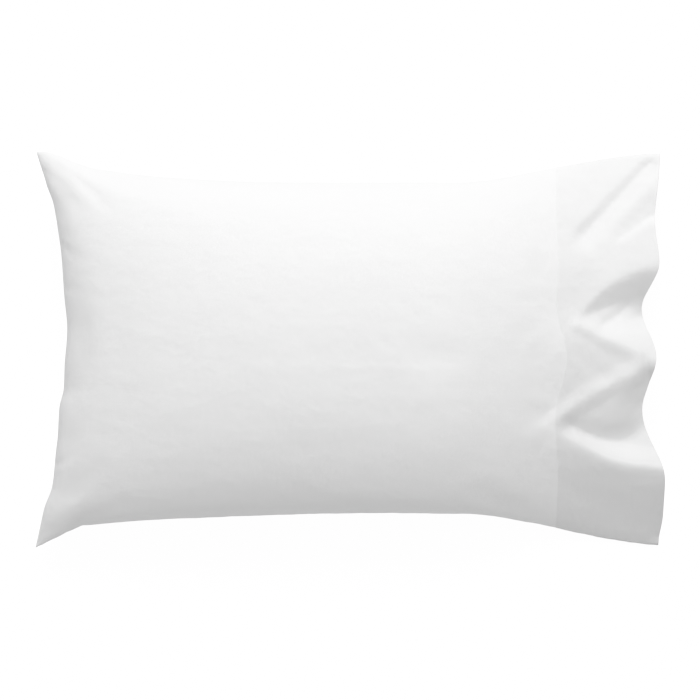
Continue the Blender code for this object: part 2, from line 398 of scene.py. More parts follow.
# %% Rows and columns
Stretch = namedtuple("Stretch", "start end cells crowding")
STRETCHES = (
    Stretch(SEWN_END, -0.310, 40, 1.8),
    Stretch(-0.310, 0.240, 130, 1.0),
    Stretch(0.240, 0.285, 30, 1.0),
    Stretch(0.285, OPEN_END, 62, 1.0),
)
COLUMNS = 160
BODY_CROWDING = 0.8
HEM_CROWDING = 0.3
CROWDING_EASES = Ramp(0.12, 0.15)


def rows_of(stretches):
    """Every "along" at which there is a ring."""
    rows = [stretches[0].start]
    for stretch in stretches:
        for cell in range(1, stretch.cells + 1):
            rows.append(mix(stretch.start, stretch.end, (cell / stretch.cells) ** stretch.crowding))
    return np.array(rows)


def spread_across(columns, along):
    """Points crowd at the side seams of the round body, and lie evenly over the folds of the hem."""
    share = np.linspace(-1.0, 1.0, columns + 1)[None, :]
    crowding = mix(BODY_CROWDING, HEM_CROWDING, smooth(along, *CROWDING_EASES))
    return mix(share, np.sin(share * math.pi / 2.0), crowding)


cloth_rows = rows_of(STRETCHES)
print(len(cloth_rows), "rings of", 2 * COLUMNS, "points")

# %% From the two layers to rings
def to_rings(upper, lower):
    """Joins the two layers at the side seams: 0 is the seam at -Y, and the middle index the one at +Y."""
    seams = (upper + lower) / 2.0
    return np.concatenate([seams[:, :1], upper[:, 1:-1], seams[:, -1:], lower[:, -2:0:-1]], axis=1)


def outer_rings(rows, columns):
    """The case's outer face as a table of rings, one for each row."""
    along = rows[:, None]
    across = spread_across(columns, along)
    x, y = plan(along, across)
    upper = np.stack([x, y, upper_height(along, across)], axis=2)
    lower = np.stack([x - short_fall(along, across), y, lower_height(along, across)], axis=2)
    return to_rings(upper, lower)


rings = outer_rings(cloth_rows, COLUMNS)
print("box of the plain rings:", (rings.max((0, 1)) - rings.min((0, 1))).round(3))

# %% Outward directions, and even noise
def outward(table):
    """The direction straight out of the cloth at every point of a table of rings."""
    forward = np.gradient(table, axis=0)
    around = np.roll(table, -1, axis=1) - np.roll(table, 1, axis=1)
    out = np.cross(forward, around)
    return out / np.maximum(np.linalg.norm(out, axis=2, keepdims=True), 1e-12)


Bumps = namedtuple("Bumps", "size_x size_y size_z shift")


def wander(table, bumps):
    """Even noise from about -1 to 1, whose bumps have these sizes."""
    places = table.reshape(-1, 3) / bumps[:3] + bumps.shift
    return np.array([noise.noise(place) for place in places.tolist()]).reshape(table.shape[:2])


def arc(table, axis):
    """The length of cloth from the first row or column to every point."""
    steps = np.linalg.norm(np.diff(table, axis=axis), axis=2)
    start = np.zeros_like(np.take(steps, [0], axis=axis))
    return np.concatenate([start, np.cumsum(steps, axis=axis)], axis=axis)


length_of_cloth = arc(rings, 0)[-1, COLUMNS // 2]
print("cloth from the sewn end to the hem's edge:", round(float(length_of_cloth), 3), "m")

# %% [markdown]
# ## Letting the filling push
#
# A formula is too even to pass for cloth. The real thing is tight where the filling pushes and slack where a
# seam holds it back, and the small dents between the two can't be drawn well by hand. Blender's cloth
# simulation finds them: a coarse closed copy of the case is given a little spare cloth and pressure inside,
# and runs for twenty frames. Only the short waves of what it finds are kept. The broad swelling is
# taken off again, so that the case keeps its outline and height.

# %% Quads between rings
def band_faces(first, count, around):
    """The quads that join this many rings, numbered from a first point, each to the next."""
    ring = np.arange(count - 1)[:, None] * around + first
    here = np.arange(around)[None, :]
    ahead = (here + 1) % around
    quads = np.stack([ring + here, ring + around + here, ring + around + ahead, ring + ahead], axis=2)
    return quads.reshape(-1, 4).tolist()


def cap_faces(first, around, faces_sewn_end):
    """Closes a ring by joining its upper half to its lower one, point by point."""
    half = around // 2
    faces = [(0, 1, around - 1)]
    faces += [(j, j + 1, around - j - 1, around - j) for j in range(1, half - 1)]
    faces += [(half - 1, half, half + 1)]
    if not faces_sewn_end:
        faces = [face[::-1] for face in faces]
    return [tuple(first + point for point in face) for face in faces]


print("a ring of 8 is capped by", len(cap_faces(0, 8, True)), "faces")

# %% The coarse copy, and where it is held
SIM_ROWS = rows_of((Stretch(SEWN_END, -0.34, 13, 1.4), Stretch(-0.34, 0.30, 98, 1.0)))
SIM_COLUMNS = 76
HELD_HEM = Ramp(0.235, 0.03)
LEAVES_GROUND = Ramp(0.001, 0.006)
LEAST_HOLD = 0.01


def held_points(table):
    """How firmly each point is held: the hem and what lies on the ground, but not the rest."""
    hem = smooth(table[:, :, 0], *HELD_HEM)
    ground = 1.0 - smooth(table[:, :, 2], *LEAVES_GROUND)
    return np.maximum(hem, ground)


print("the coarse copy has", len(SIM_ROWS) * 2 * SIM_COLUMNS, "points")

# %% The simulation
PRESSURE = 0.6
SPARE_CLOTH = 0.006
CLOTH_MASS = 0.25
STIFFNESS = 30.0
BENDING = 0.2
QUALITY = 6
FRAMES = 20


def push_out(table):
    """Runs the cloth simulation on a table of rings and returns how far each point moved."""
    count, around = table.shape[:2]
    mesh = bpy.data.meshes.new("push")
    last = (count - 1) * around
    faces = band_faces(0, count, around) + cap_faces(0, around, True) + cap_faces(last, around, False)
    mesh.from_pydata(table.reshape(-1, 3).tolist(), [], faces)
    body = bpy.data.objects.new("push", mesh)
    bpy.context.scene.collection.objects.link(body)
    held = body.vertex_groups.new(name="held")
    for point, weight in enumerate(held_points(table).ravel().tolist()):
        if weight > LEAST_HOLD:
            held.add([point], weight, "REPLACE")
    cloth = body.modifiers.new("cloth", "CLOTH")
    settings = cloth.settings
    settings.quality = QUALITY
    settings.mass = CLOTH_MASS
    settings.tension_stiffness = STIFFNESS
    settings.compression_stiffness = STIFFNESS
    settings.shear_stiffness = STIFFNESS / 3.0
    settings.bending_stiffness = BENDING
    settings.use_pressure = True
    settings.uniform_pressure_force = PRESSURE
    settings.shrink_min = -SPARE_CLOTH
    settings.shrink_max = -SPARE_CLOTH
    settings.vertex_group_mass = "held"
    settings.effector_weights.gravity = 0.0
    cloth.collision_settings.use_collision = False
    cloth.collision_settings.use_self_collision = False
    scene = bpy.context.scene
    scene.frame_start = 1
    scene.frame_end = FRAMES
    for frame_number in range(1, FRAMES + 1):
        scene.frame_set(frame_number)
    shown = body.evaluated_get(bpy.context.evaluated_depsgraph_get())
    places = np.empty(count * around * 3, np.float32)
    shown.data.vertices.foreach_get("co", places)
    scene.frame_set(1)
    bpy.data.objects.remove(body)
    bpy.data.meshes.remove(mesh)
    return places.reshape(table.shape).astype(float) - table


print("a full simulation has", FRAMES, "frames")

# %% Keeping the short waves
FINE_PASSES = 2
BROAD_PASSES = 14
MOST_MOVE = 0.0015


def blurred(field, passes):
    """A soft average over the neighbours of a table of rings, so many times over."""
    for _ in range(passes):
        wide = np.concatenate([field[:1], field, field[-1:]])
        field = (wide[:-2] + 2.0 * field + wide[2:]) / 4.0
        field = (np.roll(field, 1, axis=1) + 2.0 * field + np.roll(field, -1, axis=1)) / 4.0
    return field


def resampled(field, rows, fine_rows, columns, fine_columns):
    """A coarse table's values at the points of a fine one, with the same side seams."""
    by_row = np.stack([np.interp(fine_rows, rows, field[:, j]) for j in range(field.shape[1])], axis=1)
    turn = np.arange(2 * columns + 1) / (2 * columns)
    fine_turn = np.arange(2 * fine_columns) / (2 * fine_columns)
    closed = np.concatenate([by_row, by_row[:, :1]], axis=1)
    return np.stack([np.interp(fine_turn, turn, row) for row in closed])


dents = np.zeros(rings.shape[:2])
coarse = outer_rings(SIM_ROWS, SIM_COLUMNS)
moved = push_out(coarse)
coarse_dents = np.sum(moved * outward(coarse), axis=2)
print("the simulation moved the cloth by up to", round(float(np.abs(coarse_dents).max()), 4), "m")
coarse_dents = blurred(coarse_dents, FINE_PASSES) - blurred(coarse_dents, BROAD_PASSES)
coarse_dents = MOST_MOVE * np.tanh(coarse_dents / MOST_MOVE)
coarse_dents *= 1.0 - held_points(coarse)
dents = resampled(coarse_dents, SIM_ROWS, cloth_rows, SIM_COLUMNS, COLUMNS)
print("short waves kept: up to", round(float(np.abs(dents).max()) * 1000, 2), "mm")

# %% [markdown]
# ## The small relief
#
# Over the large shape lies what makes cotton look washed and worn: waves a hand wide, faint streaks where
# the cloth is drawn between the long seams, small puckers where a seam gathers it, and a few stress folds
# that run into the sewn corners. Each is a fraction of a millimetre to two millimetres high. A bump in the
# material could fake them, but not at the edges, where a low light shows them too. So they are real moves of
# the mesh, along the cloth's own outward direction.

# %% Where the hem is sewn
HEM_LINE = 0.262
HEM_LINE_BOW = 0.012
HEM_BOW_PLACE = -0.01
HEM_BOW_RUN = 0.05


def past_hem_line(along, y):
    """How far a point lies past the row of stitches that holds the hem. The filling bows the row outwards."""
    return along - HEM_LINE - HEM_LINE_BOW * bell(y - HEM_BOW_PLACE, HEM_BOW_RUN)


grid_along = np.broadcast_to(cloth_rows[:, None], rings.shape[:2])
past_stitches = past_hem_line(grid_along, rings[:, :, 1])
print("the hem is", round(float(OPEN_END - HEM_LINE), 3), "m deep")

# %% Stress folds at the sewn end
STRESS_FOLDS = (
    Fold("ear tip crease", -0.397, -0.246, -0.376, -0.224, 0.001, 0.003, 0.006, -0.0016, -0.0004, 0.0),
    Fold("ear kink", -0.352, -0.230, -0.340, -0.204, 0.0, 0.007, 0.010, -0.0022, -0.0005, 0.0),
    Fold("ear bulge", -0.380, -0.216, -0.330, -0.186, 0.0, 0.008, 0.012, 0.0012, 0.0004, 0.0),
    Fold("lower tuck", -0.372, -0.146, -0.338, -0.128, 0.001, 0.004, 0.008, -0.0014, -0.0003, 0.0),
    Fold("middle tuck", -0.364, -0.052, -0.336, -0.048, 0.0, 0.004, 0.007, -0.0008, -0.0002, 0.0),
    Fold("inner tuck", -0.362, 0.078, -0.330, 0.070, 0.001, 0.004, 0.008, -0.0012, -0.0003, 0.0),
    Fold("outer tuck", -0.368, 0.134, -0.332, 0.112, -0.001, 0.004, 0.009, -0.0014, -0.0003, 0.0),
    Fold("upper ear crease", -0.386, 0.226, -0.330, 0.176, 0.002, 0.005, 0.010, -0.0010, -0.0003, 0.0),
)
upper_side = np.zeros(rings.shape[:2])
upper_side[:, : COLUMNS + 1] = 1.0
stress = fold_rise(rings[:, :, 0], rings[:, :, 1], STRESS_FOLDS)
print("the deepest stress fold:", round(float(stress.min()) * 1000, 2), "mm")

# %% How far each point lies from the seams
around_case = arc(rings, 1)
width_of_layer = around_case[:, [COLUMNS]]
from_seam = np.minimum(around_case, np.abs(around_case - width_of_layer))
from_seam = np.minimum(from_seam, np.abs(around_case[:, [-1]] - around_case))
from_sewn_end = arc(rings, 0)
print("the case is", round(float(around_case[:, -1].max()), 3), "m round at its widest")

# %% Waves, streaks and crumple
BROAD_WAVES = Bumps(0.11, 0.075, 0.09, 3.1)
SHORT_WAVES = Bumps(0.05, 0.036, 0.05, 7.7)
SHORT_SHARE = 0.5
STREAKS = Bumps(0.16, 0.013, 0.05, 11.3)
CRUMPLES = Bumps(0.046, 0.034, 0.04, 19.7)
FINE_CRUMPLES = Bumps(0.021, 0.017, 0.02, 23.9)
FINE_SHARE = 0.6
RIDGE_SHARPNESS = 2.2


def ridged(values):
    """Turns even noise into sharp ridges between soft hollows, as a crease is between two flats."""
    return 1.0 - 2.0 * np.minimum(np.abs(values) * RIDGE_SHARPNESS, 1.0)


waves = wander(rings, BROAD_WAVES) + SHORT_SHARE * wander(rings, SHORT_WAVES)
streaks = wander(rings, STREAKS)
crumple = ridged(wander(rings, CRUMPLES)) + FINE_SHARE * ridged(wander(rings, FINE_CRUMPLES))
print("waves:", round(float(waves.std()), 3), " crumple:", round(float(crumple.std()), 3))

# %% Puckers along the seams
SIDE_PUCKERS = Bumps(0.0085, 0.06, 0.06, 31.3)
SIDE_PUCKER_RUN = 0.016
END_PUCKERS = Bumps(0.05, 0.0095, 0.05, 37.1)
END_PUCKER_RUN = 0.018
HEM_PUCKERS = Bumps(0.05, 0.0062, 0.05, 41.9)
HEM_PUCKER_RUN = 0.006
side_puckers = wander(rings, SIDE_PUCKERS) * bell(from_seam, SIDE_PUCKER_RUN)
end_puckers = wander(rings, END_PUCKERS) * bell(from_sewn_end, END_PUCKER_RUN)
hem_puckers = wander(rings, HEM_PUCKERS) * bell(past_stitches, HEM_PUCKER_RUN)
print("side puckers:", round(float(side_puckers.std()), 3), " hem:", round(float(hem_puckers.std()), 3))

# %% The relief as one number at every point
WAVE = 0.00045
STREAK = 0.00016
CRUMPLE = 0.00013
HEM_SLACK = 1.8
HEM_STARTS = Ramp(0.20, 0.08)
PUCKER = 0.00042
SEAM_GROOVE = 0.0003
SEAM_GROOVE_RUN = 0.0016
SHALLOWER_IN_HEM = 0.7
HEM_STEP_UP = 0.00025
DOUBLED = Ramp(-0.0008, 0.0016)
HEM_GROOVE = 0.0002
HEM_GROOVE_RUN = 0.0011
LEAVES_SEWN_EDGE = Ramp(0.0, 0.006)
OFF_GROUND = Ramp(0.0004, 0.004)
in_hem = smooth(grid_along, *HEM_STARTS)
doubled = smooth(past_stitches, *DOUBLED)
relief = WAVE * waves + STREAK * streaks + CRUMPLE * mix(1.0, HEM_SLACK, in_hem) * crumple
relief += PUCKER * (side_puckers + end_puckers) + 0.5 * PUCKER * hem_puckers
relief -= SEAM_GROOVE * bell(from_seam, SEAM_GROOVE_RUN) * (1.0 - SHALLOWER_IN_HEM * in_hem)
relief += HEM_STEP_UP * doubled
relief -= HEM_GROOVE * bell(past_stitches, HEM_GROOVE_RUN)
relief += stress * upper_side + dents
relief *= smooth(from_sewn_end, *LEAVES_SEWN_EDGE)
resting = 1.0 - smooth(rings[:, :, 2], *OFF_GROUND)
relief = np.where(resting > 0.0, relief * (1.0 - resting), relief)
print("relief from", round(float(relief.min()) * 1000, 2), "to", round(float(relief.max()) * 1000, 2), "mm")
outside = rings + relief[:, :, None] * outward(rings)
outside[:, :, 2] = np.maximum(outside[:, :, 2], 0.0)

# %% [markdown]
# ## Round the hem's edge and inside
#
# The hem is folded double, so its edge is a soft round fold a little over a millimetre thick. A Solidify
# modifier could give the cloth that thickness, but it would also line the filled part, where nobody looks.
# A few more rings do it here: they turn round the edge and run back inside until the pillow hides them, and
# a last cap closes the tube. The whole case is one closed body, and its hem is really two-sided.

# %% The rings of the fold and the inside
HEM_THICK = 0.0013
LEAST_GAP = 0.2
LEAST_HEIGHT = 0.9
TOUCHING = 1e-6
SEAM_INSIDE = 0.016
INSIDE_END = 0.252
INSIDE_RINGS = 26
FOLD_RINGS = 5


def halves(table):
    """The upper and the lower layer of a table of rings, both from the seam at -Y to the one at +Y."""
    half = table.shape[1] // 2
    lower = np.concatenate([table[:, half:], table[:, :1]], axis=1)[:, ::-1]
    return table[:, : half + 1], lower


def inward(table, thick):
    """The inner face of the cloth: each layer moved towards the other by its thickness, but never past it."""
    upper, lower = halves(table)
    middle = (upper + lower) / 2.0
    gap = (upper[:, :, 2] - lower[:, :, 2]) / 2.0
    clear = np.maximum(gap - thick, LEAST_GAP * gap)
    share = np.where(gap > TOUCHING, clear / np.maximum(gap, TOUCHING), 1.0)[:, :, None]
    inner = to_rings(mix(middle, upper, share), mix(middle, lower, share))
    inner[:, :, 1] = inner[:, :, 1] * (1.0 - SEAM_INSIDE)
    height = inner[:, :, 2]
    inner[:, :, 2] = np.where(height < thick, np.maximum(height, thick * LEAST_HEIGHT), height)
    return inner


def rows_between(table, rows, wanted):
    """The rings at these "along" values, read between the rings of a table."""
    flat = table.reshape(len(rows), -1)
    columns = [np.interp(wanted, rows, flat[:, k]) for k in range(flat.shape[1])]
    return np.stack(columns, axis=1).reshape(len(wanted), *table.shape[1:])


inside_rows = np.linspace(OPEN_END, INSIDE_END, INSIDE_RINGS)
inside = inward(rows_between(outside, cloth_rows, inside_rows), HEM_THICK)
edge_middle = (outside[-1] + inside[0]) / 2.0
turns = []
for turn in range(1, FOLD_RINGS + 1):
    angle = math.pi * turn / (FOLD_RINGS + 1)
    ring = mix(edge_middle, outside[-1], math.cos(angle))
    ring[:, 0] += HEM_THICK / 2.0 * math.sin(angle)
    turns.append(ring)
case_rings = np.concatenate([outside, np.stack(turns), inside])
print(len(case_rings), "rings in all,", case_rings.shape[0] * case_rings.shape[1], "points")

# %% Attributes and the weave's directions
def weave_lengths(table, middle_row):
    """The cloth's own lengths, along and across, from the middle of each layer."""
    down = arc(table, 0)
    down = down - down[middle_row]
    upper, lower = halves(table)
    half = table.shape[1] // 2
    across_upper = arc(upper, 1)
    across_lower = arc(lower[:, ::-1], 1)
    across_upper = across_upper - across_upper[:, [half // 2]]
    across_lower = across_lower - across_lower[:, [half // 2]]
    return down, across_upper, across_lower


def face_weave(table, middle_row):
    """The weave's two lengths at each corner of the band quads, in the order of the faces."""
    down, across_upper, across_lower = weave_lengths(table, middle_row)
    half = table.shape[1] // 2
    down = np.concatenate([down, down[:, :1]], axis=1)
    near = np.concatenate([across_upper[:, :-1], across_lower[:, :-1]], axis=1)
    far = np.concatenate([across_upper[:, 1:], across_lower[:, 1:]], axis=1)
    here = down[:, :-1]
    ahead = down[:, 1:]
    corners = [
        np.stack([here[:-1], near[:-1]], axis=2),
        np.stack([here[1:], near[1:]], axis=2),
        np.stack([ahead[1:], far[1:]], axis=2),
        np.stack([ahead[:-1], far[:-1]], axis=2),
    ]
    woven_width = across_upper[middle_row, half] - across_upper[middle_row, 0]
    print("woven width at the middle row:", round(float(woven_width), 3))
    return np.stack(corners, axis=2).reshape(-1, 2)


def ring_mesh(name, table, middle_row):
    """A closed mesh from a table of rings, with the weave's lengths as its UV map "cloth"."""
    count, around = table.shape[:2]
    bands = band_faces(0, count, around)
    caps = cap_faces(0, around, True) + cap_faces((count - 1) * around, around, False)
    mesh = bpy.data.meshes.new(name)
    mesh.from_pydata(table.reshape(-1, 3).tolist(), [], bands + caps)
    weave = mesh.uv_layers.new(name="cloth")
    lengths = np.zeros((len(mesh.loops), 2))
    lengths[: len(bands) * 4] = face_weave(table, middle_row)
    loop_points = np.empty(len(mesh.loops), np.int32)
    mesh.loops.foreach_get("vertex_index", loop_points)
    capped = table.reshape(-1, 3)[loop_points[len(bands) * 4 :]]
    lengths[len(bands) * 4 :] = capped[:, :2]
    weave.data.foreach_set("uv", lengths.ravel().astype(np.float32))
    mesh.shade_smooth()
    return mesh


def add_piece(name, mesh):
    """An object at the origin, because every piece has its place in its mesh."""
    piece = bpy.data.objects.new(name, mesh)
    bpy.context.scene.collection.objects.link(piece)
    return piece


def set_number(mesh, name, values):
    """A number at every point, which a material can read by its name."""
    attribute = mesh.attributes.new(name, "FLOAT", "POINT")
    attribute.data.foreach_set("value", np.ascontiguousarray(values, np.float32).ravel())


# %% The case as a piece
# Painted shade on the hem: the "hem" attribute says how much, in full towards -Y and inside the hem, half as
# much towards +Y where the panel lights it.
LIT_SIDE_SHADE_SHARE = 0.5
SHADE_FADE_TO_LIT_SIDE = Ramp(-0.15, 0.30)
case_mesh = ring_mesh("case_cloth", case_rings, len(cloth_rows) // 2)
case_cloth = add_piece("case_cloth", case_mesh)
inner_count = case_rings.shape[0] - outside.shape[0]
hem_painted_shade = doubled * mix(1.0, LIT_SIDE_SHADE_SHARE, smooth(rings[:, :, 1], *SHADE_FADE_TO_LIT_SIDE))
set_number(case_mesh, "hem", np.concatenate([hem_painted_shade, np.ones((inner_count, 2 * COLUMNS))]))
print("case_cloth:", len(case_mesh.polygons), "faces")

# %% [markdown]
# ## The end of the pillow
#
# Anyone who looks into the open hem sees the pillow. A stretched ball would do from afar, but it would cut
# through the sinking cloth. So the rounded end is made from the same two layers: it fills the gap between
# them where the cloth leaves it, and rounds off to a blunt nose. It is a little smaller than the inside of
# the cloth, so the two never meet.

# %% The rounded end
PILLOW_START = 0.254
PILLOW_LEAVES = 0.272
PILLOW_NOSE = 0.310
NOSE_SETBACK = 0.030
NOSE_NARROWS = 0.05
NOSE_ROUND = 0.55
NOSE_TIP = 0.003
PILLOW_WIDTH = 0.975
TICKING_GAP = 0.0022
LEAST_FILLING = 0.15


def pillow_ring(along, nose):
    """A ring of the pillow's end. The nose runs from 0 where it leaves the cloth to 1 at its tip."""
    across = spread_across(COLUMNS, np.array([[along]]))
    set_back = along - NOSE_SETBACK * nose * np.abs(across) ** 3
    across = across * (PILLOW_WIDTH - NOSE_NARROWS * nose)
    x, y = plan(set_back, across)
    top = upper_height(set_back, across)
    bottom = lower_height(set_back, across)
    opening = max(1.0 - nose, NOSE_TIP) ** NOSE_ROUND
    half_gap = (top - bottom) / 2.0
    clear = np.maximum(half_gap - TICKING_GAP, LEAST_FILLING * half_gap) * opening
    middle = (top + bottom) / 2.0
    upper = np.stack([x, y, middle + clear], axis=2)
    return to_rings(upper, np.stack([x, y, middle - clear], axis=2))


STRAIGHT_RINGS = 5
NOSE_RINGS = 16
NOSE_CROWDING = 1.6
straight = np.linspace(PILLOW_START, PILLOW_LEAVES, STRAIGHT_RINGS)
pillow_rings = [pillow_ring(along, 0.0) for along in straight]
for step in range(1, NOSE_RINGS + 1):
    nose = 1.0 - (1.0 - step / NOSE_RINGS) ** NOSE_CROWDING
    pillow_rings.append(pillow_ring(mix(PILLOW_LEAVES, PILLOW_NOSE, nose), nose))
pillow_rings = np.concatenate(pillow_rings)
print("the pillow's nose reaches", round(float(pillow_rings[:, :, 0].max()), 3), "m")

# %% The rumples of its cover
LUMPS = Bumps(0.03, 0.022, 0.02, 53.0)
LUMP = 0.0006
DRAWN_STREAKS = Bumps(0.05, 0.008, 0.05, 59.0)
DRAWN_STREAK = 0.0005
LEFT_AT_NOSE = 0.2
pillow_relief = LUMP * wander(pillow_rings, LUMPS)
pillow_relief += DRAWN_STREAK * wander(pillow_rings, DRAWN_STREAKS)
fade_in = np.linspace(0.0, 1.0, len(pillow_rings))[:, None]
fade_out = np.linspace(1.0, LEFT_AT_NOSE, len(pillow_rings))[:, None]
pillow_rings = pillow_rings + (pillow_relief * (fade_in * fade_out))[:, :, None] * outward(pillow_rings)
pillow_end = add_piece("pillow_end", ring_mesh("pillow_end", pillow_rings, STRAIGHT_RINGS // 2))
print("pillow_end:", len(pillow_end.data.polygons), "faces")

# %% [markdown]
# ## The hem's stitches
#
# A row of lockstitches holds the deep hem, on both layers. Hundreds of them are too many to place by hand,
# and each one has to follow the cloth. This is what Geometry Nodes are for: the tree takes a line of edges
# along the hem, makes it a curve, cuts it at the stitch length, and puts one short thread at each cut.
# The sizes are named inputs of the tree, and the seed of its small unevenness is fixed.

# %% The line that the stitches follow
def stitch_line(table, rows, first, last):
    """Points on the cloth along the hem's row of stitches, with the outward direction at each."""
    out = outward(table)
    points = []
    ups = []
    for column in range(first, last):
        past = past_hem_line(rows, table[:, column, 1])
        places = [np.interp(0.0, past, table[:, column, axis]) for axis in range(3)]
        up = np.array([np.interp(0.0, past, out[:, column, axis]) for axis in range(3)])
        points.append(np.array(places))
        ups.append(up / np.linalg.norm(up))
    return np.array(points), np.array(ups)


line_points = []
line_ups = []
line_edges = []
for first, last in ((2, COLUMNS - 1), (COLUMNS + 2, 2 * COLUMNS - 1)):
    points, ups = stitch_line(outside, cloth_rows, first, last)
    start = len(line_points)
    line_points += points.tolist()
    line_ups += ups.tolist()
    line_edges += [(start + k, start + k + 1) for k in range(len(points) - 1)]
line_mesh = bpy.data.meshes.new("hem_stitches")
line_mesh.from_pydata(line_points, line_edges, [])
up_attribute = line_mesh.attributes.new("cloth_up", "FLOAT_VECTOR", "POINT")
up_attribute.data.foreach_set("vector", np.array(line_ups, np.float32).ravel())
stitches = add_piece("hem_stitches", line_mesh)
print("stitch line:", len(line_points), "points in two runs")

# %% Small helpers for node trees
def add_node(tree, kind, at, **settings):
    """A node of this kind at a place of the sheet, with its own settings."""
    node = tree.nodes.new(kind)
    node.location = at
    for name, value in settings.items():
        setattr(node, name, value)
    return node


def join(tree, *links):
    """Each link is an output socket and the input socket that it feeds."""
    for output, target in links:
        tree.links.new(output, target)


print("every node gets a place on the sheet, so that a tree can be read in the node editor")

# %% An empty tree with its named inputs
STITCH_SIZES = {"Pitch": 0.0029, "Length": 0.0025, "Thickness": 0.00042, "Unevenness": 0.05}
STITCH_SEED = 7


def empty_stitch_tree():
    """Takes the line, the sizes and the seed, and gives back the stitches."""
    tree = bpy.data.node_groups.new("row_of_stitches", "GeometryNodeTree")
    face = tree.interface
    face.new_socket("Line", in_out="INPUT", socket_type="NodeSocketGeometry")
    for name in STITCH_SIZES:
        face.new_socket(name, in_out="INPUT", socket_type="NodeSocketFloat")
    face.new_socket("Seed", in_out="INPUT", socket_type="NodeSocketInt")
    face.new_socket("Stitches", in_out="OUTPUT", socket_type="NodeSocketGeometry")
    return tree


def set_inputs(modifier, **values):
    """Sets a tree's inputs by the identifiers of their sockets, which is how a modifier knows them."""
    for item in modifier.node_group.interface.items_tree:
        if item.item_type == "SOCKET" and item.in_out == "INPUT" and item.name in values:
            modifier[item.identifier] = values[item.name]


print("a stitch is", STITCH_SIZES["Length"] * 1000, "mm long, one every", STITCH_SIZES["Pitch"] * 1000, "mm")

# %% The tree that sews
THREAD_SIDES = 8
THREAD_RINGS = 6


def stitch_tree(thread):
    """One thread at each cut of the line, laid along it, standing out of the cloth, a little askew."""
    tree = empty_stitch_tree()
    inputs = add_node(tree, "NodeGroupInput", (-900, 0))
    curve = add_node(tree, "GeometryNodeMeshToCurve", (-700, 200))
    cut = add_node(tree, "GeometryNodeResampleCurve", (-500, 200), mode="LENGTH")
    tangent = add_node(tree, "GeometryNodeInputTangent", (-700, -100))
    up = add_node(tree, "GeometryNodeInputNamedAttribute", (-700, -250), data_type="FLOAT_VECTOR")
    up.inputs["Name"].default_value = "cloth_up"
    lie_along = add_node(tree, "FunctionNodeAlignRotationToVector", (-500, -100), axis="X")
    stand_out = add_node(tree, "FunctionNodeAlignRotationToVector", (-300, -150), axis="Z", pivot_axis="X")
    skew = add_node(tree, "FunctionNodeRandomValue", (-500, -350), data_type="FLOAT_VECTOR")
    skew.inputs["Min"].default_value = (0.0, -0.5, -1.0)
    skew.inputs["Max"].default_value = (0.0, 0.5, 1.0)
    less = add_node(tree, "ShaderNodeVectorMath", (-300, -350), operation="SCALE")
    turn = add_node(tree, "FunctionNodeRotateRotation", (-100, -200), rotation_space="LOCAL")
    ball = add_node(tree, "GeometryNodeMeshUVSphere", (-300, 450))
    ball.inputs["Segments"].default_value = THREAD_SIDES
    ball.inputs["Rings"].default_value = THREAD_RINGS
    ball.inputs["Radius"].default_value = 0.5
    sizes = add_node(tree, "ShaderNodeCombineXYZ", (-300, 600))
    thread_form = add_node(tree, "GeometryNodeTransform", (-100, 450))
    sew = add_node(tree, "GeometryNodeInstanceOnPoints", (100, 200))
    real = add_node(tree, "GeometryNodeRealizeInstances", (300, 200))
    round_off = add_node(tree, "GeometryNodeSetShadeSmooth", (450, 200))
    finish = add_node(tree, "GeometryNodeSetMaterial", (600, 200))
    finish.inputs["Material"].default_value = thread
    result = add_node(tree, "NodeGroupOutput", (800, 200))
    join(
        tree,
        (inputs.outputs["Line"], curve.inputs["Mesh"]),
        (curve.outputs["Curve"], cut.inputs["Curve"]),
        (inputs.outputs["Pitch"], cut.inputs["Length"]),
        (tangent.outputs["Tangent"], lie_along.inputs["Vector"]),
        (lie_along.outputs["Rotation"], stand_out.inputs["Rotation"]),
        (up.outputs["Attribute"], stand_out.inputs["Vector"]),
        (stand_out.outputs["Rotation"], turn.inputs["Rotation"]),
        (inputs.outputs["Seed"], skew.inputs["Seed"]),
        (skew.outputs["Value"], less.inputs["Vector"]),
        (inputs.outputs["Unevenness"], less.inputs["Scale"]),
        (less.outputs["Vector"], turn.inputs["Rotate By"]),
        (inputs.outputs["Length"], sizes.inputs["X"]),
        (inputs.outputs["Thickness"], sizes.inputs["Y"]),
        (inputs.outputs["Thickness"], sizes.inputs["Z"]),
        (ball.outputs["Mesh"], thread_form.inputs["Geometry"]),
        (sizes.outputs["Vector"], thread_form.inputs["Scale"]),
        (cut.outputs["Curve"], sew.inputs["Points"]),
        (thread_form.outputs["Geometry"], sew.inputs["Instance"]),
        (turn.outputs["Rotation"], sew.inputs["Rotation"]),
        (sew.outputs["Instances"], real.inputs["Geometry"]),
        (real.outputs["Geometry"], round_off.inputs["Geometry"]),
        (round_off.outputs["Geometry"], finish.inputs["Geometry"]),
        (finish.outputs["Geometry"], result.inputs["Stitches"]),
    )
    return tree


print("a thread has", THREAD_SIDES * (THREAD_RINGS - 1) * 2, "triangles")

# %% [markdown]
# ## White cotton
#
# White cloth is hard to finish, because colour can't help. What tells the eye that it is cotton is how light
# dies away over it: no gloss, a soft bloom at grazing angles from the loose fibres, and a fine grain. Even
# noise alone would look like plaster. The material reads the weave's own lengths from the UV map instead,
# so warp and weft follow every fold, a quarter of a millimetre apart. Slubs make some threads thicker, and
# a finer crumple than the mesh holds comes from noise. The doubled hem's colour has painted shade: it is
# darker than the body, and most towards -Y, away from the panel.

# %% Sizes of the weave
THREAD_PITCH = 0.00028
WEAVE_DEPTH = 0.00006
SLUB_DEPTH = 0.00010
PRESSED_DEPTH = 0.0005
PRESSED_SCALE = 95.0
SLUB_ALONG = 60.0
SLUB_ACROSS = 1500.0
MOTTLE_SCALE = (9.0, 26.0, 12.0)


